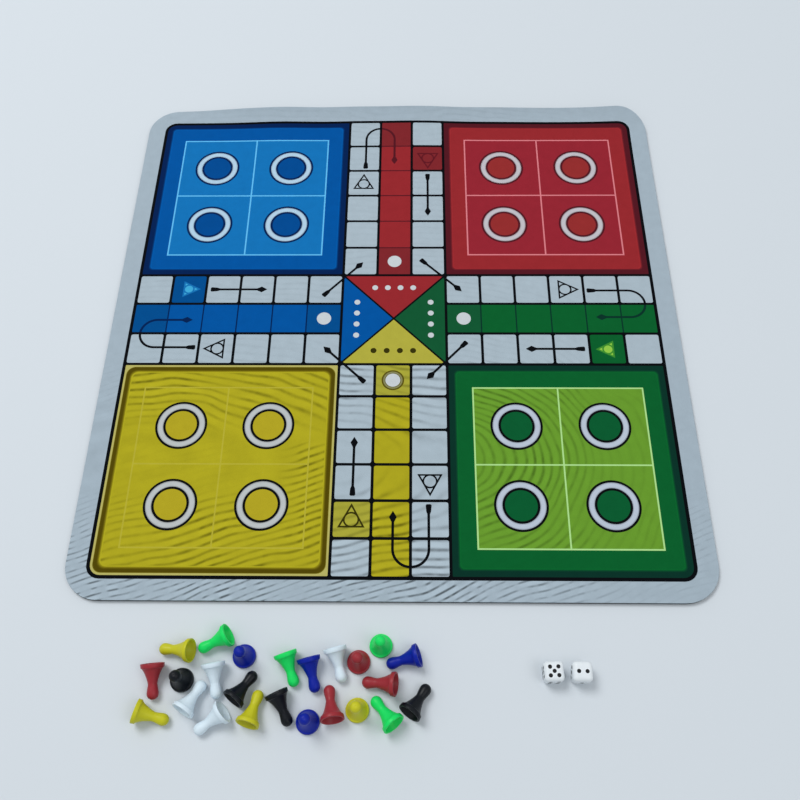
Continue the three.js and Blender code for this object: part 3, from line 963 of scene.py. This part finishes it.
def pawn_mesh():
    profile = pawn_profile()
    rim_foot = max(range(len(profile)), key=lambda k: profile[k][0])
    angles = [2 * pi * k / PAWN_COLUMNS for k in range(PAWN_COLUMNS)]
    angles += [side + lean for side in (0, pi) for lean in (-SEAM_HALF_ANGLE, SEAM_HALF_ANGLE)]
    angles = sorted(angle % (2 * pi) for angle in angles)
    shape = bmesh.new()
    rings = []
    for k, (radius, z) in enumerate(profile):
        if radius == 0:
            rings.append([shape.verts.new((0, 0, z))])
            continue
        has_seam = SEAM_MARGIN < k < rim_foot - SEAM_MARGIN
        ring = []
        for angle in angles:
            from_seam = min(angle % pi, pi - angle % pi)
            out = radius + (SEAM if has_seam and from_seam < SEAM_HALF_ANGLE / 2 else 0)
            ring.append(shape.verts.new((out * cos(angle), out * sin(angle), z)))
        rings.append(ring)
    count = len(angles)
    for first, second in zip(rings, rings[1:]):
        for k in range(count):
            after = (k + 1) % count
            if len(first) == 1:
                shape.faces.new((first[0], second[k], second[after]))
            elif len(second) == 1:
                shape.faces.new((first[k], second[0], first[after]))
            else:
                shape.faces.new((first[k], second[k], second[after], first[after]))
    mesh = bpy.data.meshes.new("pawn")
    shape.to_mesh(mesh)
    shape.free()
    mesh.shade_smooth()
    mesh.set_sharp_from_angle(angle=PAWN_CREASE)
    return mesh


def moulded_plastic():
    """Moulded plastic's colour, shine and relief: cloudy pigment, handling marks, faint orange peel."""
    gives = {"Color": "Color", "Roughness": "Float", "Relief": "Float"}
    group, given, out = node_group("moulded_plastic", {"Pigment": "Color", "Gloss": "Float"}, gives)
    place = add_node(group, "ShaderNodeTexCoord").outputs["Object"]
    cloud = noise(group, place, scale=220, detail=3)
    marks = noise(group, place, scale=900, detail=6, roughness=0.7)
    peel = noise(group, place, scale=900, detail=1)
    light = total(group, 0.93, product(group, cloud, 0.14))
    worn = product(group, calc(group, "SUBTRACT", marks, 0.45), 0.5)
    group.links.new(toned(group, given["Pigment"], light), out["Color"])
    group.links.new(total(group, given["Gloss"], calc(group, "MAXIMUM", worn, 0)), out["Roughness"])
    group.links.new(peel, out["Relief"])
    return group


plastic = moulded_plastic()


def plastic_material(name, seen, gloss):
    material, tree, shader = new_material(name)
    inputs = {"Pigment": seen_colour(*seen), "Gloss": gloss}
    made = add_node(tree, "ShaderNodeGroup", inputs, node_tree=plastic).outputs
    bump = add_node(tree, "ShaderNodeBump", {"Strength": 0.05, "Distance": 0.0001, "Height": made["Relief"]})
    tree.links.new(made["Color"], shader.inputs["Base Color"])
    tree.links.new(made["Roughness"], shader.inputs["Roughness"])
    tree.links.new(bump.outputs[0], shader.inputs["Normal"])
    shader.inputs["Specular IOR Level"].default_value = 0.2
    return material


PAWN_GLOSS = 0.36
PAWN_COLOURS = {
    "yellow": (192, 190, 34),
    "green": (22, 218, 98),
    "red": (150, 44, 52),
    "blue": (0, 28, 150),
    "white": (213, 229, 239),
    "black": (3, 8, 16),
}

# Steps to the right of the heap's middle and towards the player from its far edge, then the way the
# head points, in degrees, for a pawn that lies down
HEAP = {
    "yellow": [(-4.6, 0.8, 175), (-5.2, 3.35, 345), (-1.2, 3, 75), (2.9, 3.05)],
    "green": [(-3.05, 0.5, 205), (0.15, 1.55, 290), (3.8, 0.55), (3.95, 3.1, 130)],
    "red": [(-5.35, 2.05, 275), (1.85, 2.8, 100), (2.9, 1.2), (3.75, 2.05, 175)],
    "blue": [(-1.8, 1), (1.05, 1.75, 285), (0.95, 3.5), (4.7, 1.15, 195)],
    "white": [(-3.65, 2.6, 60), (-2.85, 2, 280), (-2.9, 3.55, 215), (2.1, 1.35, 285)],
    "black": [(-4.25, 1.95), (-1.65, 2.2, 55), (-0.05, 3.05, 295), (5.35, 2.65, 55)],
}
HEAP_X = -0.062
HEAP_GAP = 0.0185  # between the mat's near edge and the heap
HEAP_STEP_OF_BASE = 0.725
HEAP_STEP_OF_HEIGHT = 0.214
HEAP_STEP = HEAP_STEP_OF_BASE * 2 * BASE_RADIUS + HEAP_STEP_OF_HEIGHT * PAWN_HEIGHT
SEAM_TURN = radians(67)  # from one pawn of a colour to the next

# A pawn that lies down rests on the top of its rim and on the widest ring of its head
LYING_TILT = atan((RIM_TOP_RADIUS - HEAD_RADIUS) / (HEAD_MIDDLE - RIM_HEIGHT))
lying_back = -PAWN_HEIGHT / 2 * cos(LYING_TILT)
lying_height = RIM_TOP_RADIUS * cos(LYING_TILT) + RIM_HEIGHT * sin(LYING_TILT)
lying_pawn = Matrix.Translation((lying_back, 0, lying_height)) @ Matrix.Rotation(pi / 2 + LYING_TILT, 4, "Y")

pawn_shape = pawn_mesh()
for colour, places in HEAP.items():
    pawn_plastic = plastic_material(f"{colour}_pawn_plastic", PAWN_COLOURS[colour], PAWN_GLOSS)
    for number, (across, nearer, *heading) in enumerate(places, 1):
        name = f"{colour}_pawn_{number}"
        pawn_y = -MAT_HALF - HEAP_GAP - nearer * HEAP_STEP
        pawn_place = Matrix.Translation((HEAP_X + across * HEAP_STEP, pawn_y, 0))
        if heading:
            pawn_place = pawn_place @ Matrix.Rotation(radians(heading[0]), 4, "Z") @ lying_pawn
        shape = pawn_shape.copy()
        shape.transform(pawn_place @ Matrix.Rotation(SEAM_TURN * number, 4, "Z"))
        shape.materials.append(pawn_plastic)
        pawn = bpy.data.objects.new(f"{name}_moulding", shape)
        bpy.context.collection.objects.link(pawn)
        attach(pawn, name)
        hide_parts(name)

# Dice. White hard plastic cubes with tumbled round corners. Their pips are shallow drilled hollows
# that are filled with black paint, and opposite faces add up to seven.

DIE_HALF = 0.006
DIE_ROUND = 0.0027
DIE_ROUND_STEPS = 8
DIE_CREASE = radians(28)
PIP_RADIUS = 0.00125
PIP_DEPTH = 0.0004
PIP_PLACE = 0.0025
PIPS = {
    1: [(0, 0)],
    2: [(-1, 0), (1, 0)],
    3: [(-1, -1), (0, 0), (1, 1)],
    4: [(-1, -1), (-1, 1), (1, -1), (1, 1)],
    5: [(-1, -1), (-1, 1), (0, 0), (1, -1), (1, 1)],
    6: [(-1, -1), (-1, 0), (-1, 1), (1, -1), (1, 0), (1, 1)],
}
# Turns that bring the upper face to the top, underside, right, left, far and near side
FACE_TURNS = [
    Euler((0, 0, 0)),
    Euler((pi, 0, 0)),
    Euler((0, pi / 2, 0)),
    Euler((0, -pi / 2, 0)),
    Euler((-pi / 2, 0, 0)),
    Euler((pi / 2, 0, 0)),
]
# Each die's pips in that order, its place across and how many degrees it lies askew
DICE = {
    "five_up_die": ((5, 2, 1, 6, 3, 4), 0.099, 2),
    "two_up_die": ((2, 5, 4, 3, 6, 1), 0.116, -1),
}
DICE_GAP = 0.0365  # between the mat's near edge and the dice
DICE_Y = -MAT_HALF - DICE_GAP - DIE_HALF

dice_white = plastic_material("dice_white_plastic", (224, 230, 234), 0.22)
pip_black = plastic_material("pip_black_paint", (14, 15, 18), 0.45)


def rounded_cube():
    cube = bmesh.new()
    bmesh.ops.create_cube(cube, size=2 * DIE_HALF)
    bmesh.ops.bevel(
        cube, geom=cube.edges[:], offset=DIE_ROUND, segments=DIE_ROUND_STEPS, profile=0.5, affect="EDGES"
    )
    return cube


def pip_drills(faces):
    """A flat ball for each pip, as wide as the pip, with its middle on the die's face."""
    drills = bmesh.new()
    flat_ball = Matrix.Diagonal((PIP_RADIUS, PIP_RADIUS, PIP_DEPTH, 1))
    for count, turn in zip(faces, FACE_TURNS):
        for across, along in PIPS[count]:
            middle = Matrix.Translation((across * PIP_PLACE, along * PIP_PLACE, DIE_HALF))
            drill_place = turn.to_matrix().to_4x4() @ middle @ flat_ball
            bmesh.ops.create_uvsphere(drills, u_segments=28, v_segments=15, radius=1, matrix=drill_place)
    return drills


for name, (faces, x, askew) in DICE.items():
    die = made_of(f"{name}_cube", rounded_cube(), dice_white)
    drill = made_of(f"{name}_drills", pip_drills(faces), pip_black)
    cut = die.modifiers.new("pips", "BOOLEAN")
    cut.object = drill
    cut.operation = "DIFFERENCE"
    cut.solver = "EXACT"
    cut.material_mode = "TRANSFER"
    drilled = bpy.data.meshes.new_from_object(die.evaluated_get(bpy.context.evaluated_depsgraph_get()))
    die.modifiers.clear()
    die.data = drilled
    bpy.data.objects.remove(drill)
    drilled.set_sharp_from_angle(angle=DIE_CREASE)
    drilled.transform(Matrix.Translation((x, DICE_Y, DIE_HALF)) @ Matrix.Rotation(radians(askew), 4, "Z"))
    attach(die, name)
    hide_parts(name)

# Studio. A plain pale floor that the set lies on and that runs out into a backdrop of its own tone,
# soft light from a large lamp at the far left and a weaker one at the right, and the camera above the
# near edge.

FLOOR_RADIUS = 30
FLOOR_DEPTH = 0.00005
FLOOR_COLOUR = seen_colour(206, 213, 219)
BACKDROP_COLOUR = (0.93, 0.97, 1.0, 1)
BACKDROP_STRENGTH = 0.72
SKY_STRENGTH = 0.5
FLOOR_FADE = (0.9, 2.6)  # how far out the floor runs over into the backdrop


def seen_ray(tree):
    """1 for what the camera sees, straight or in a gloss, and 0 for light on its way."""
    ray = add_node(tree, "ShaderNodeLightPath").outputs
    seen = calc(tree, "MAXIMUM", ray["Is Camera Ray"], ray["Is Glossy Ray"])
    return calc(tree, "MAXIMUM", seen, ray["Is Transmission Ray"])


floor_mesh = bpy.data.meshes.new("floor")
floor_rim = [(x, y, -FLOOR_DEPTH) for x, y in disc_outline(0, 0, FLOOR_RADIUS, steps=96)]
floor_mesh.from_pydata(floor_rim, [], [range(len(floor_rim))])
floor = bpy.data.objects.new("floor", floor_mesh)
bpy.context.collection.objects.link(floor)
floor_paint, floor_tree, floor_shader = new_material("floor_paint")
floor_shader.inputs["Base Color"].default_value = FLOOR_COLOUR
floor_shader.inputs["Roughness"].default_value = 0.7
floor_place = add_node(floor_tree, "ShaderNodeTexCoord").outputs["Object"]
out_there = vectors(floor_tree, "LENGTH", {0: floor_place})["Value"]
floor_fade = product(floor_tree, ramp(floor_tree, out_there, FLOOR_FADE, (0, 1)), seen_ray(floor_tree))
backdrop_light = {"Color": BACKDROP_COLOUR, "Strength": BACKDROP_STRENGTH}
backdrop = add_node(floor_tree, "ShaderNodeEmission", backdrop_light)
floor_sides = {0: floor_fade, 1: floor_shader.outputs[0], 2: backdrop.outputs[0]}
floor_mix = add_node(floor_tree, "ShaderNodeMixShader", floor_sides)
floor_tree.links.new(floor_mix.outputs[0], floor_tree.nodes["Material Output"].inputs["Surface"])
floor_mesh.materials.append(floor_paint)


def soft_lamp(name, place, size, power):
    """A large round lamp that shines at the middle of the mat."""
    lamp = bpy.data.lights.new(name, "AREA")
    lamp.shape = "DISK"
    lamp.size = size
    lamp.energy = power
    holder = bpy.data.objects.new(name, lamp)
    holder.location = place
    holder.rotation_euler = (-Vector(place)).to_track_quat("-Z", "Y").to_euler()
    bpy.context.collection.objects.link(holder)


soft_lamp("key_lamp", place=(-1.4, 1.2, 3.0), size=1.8, power=68)
soft_lamp("fill_lamp", place=(1.8, -1.0, 2.8), size=2.0, power=20)
world = bpy.data.worlds.new("studio")
world.use_nodes = True
sky = world.node_tree
soft_light = sky.nodes["Background"]
soft_light.inputs["Color"].default_value = BACKDROP_COLOUR
soft_light.inputs["Strength"].default_value = SKY_STRENGTH
seen_sky = add_node(sky, "ShaderNodeBackground", backdrop_light)
sky_sides = {0: seen_ray(sky), 1: soft_light.outputs[0], 2: seen_sky.outputs[0]}
sky_mix = add_node(sky, "ShaderNodeMixShader", sky_sides)
sky.links.new(sky_mix.outputs[0], sky.nodes["World Output"].inputs["Surface"])
bpy.context.scene.world = world

lens = bpy.data.cameras.new("camera")
lens.sensor_width = 36
lens.lens = 36.95
lens.clip_start = 0.01
camera = bpy.data.objects.new("camera", lens)
camera.location = (0.01435, -0.3286, 0.5218)
camera.rotation_mode = "ZYX"
camera.rotation_euler = (0.465633, 0.015663, 0.001951)
bpy.context.collection.objects.link(camera)
bpy.context.scene.camera = camera
bpy.context.scene.view_settings.view_transform = "Standard"
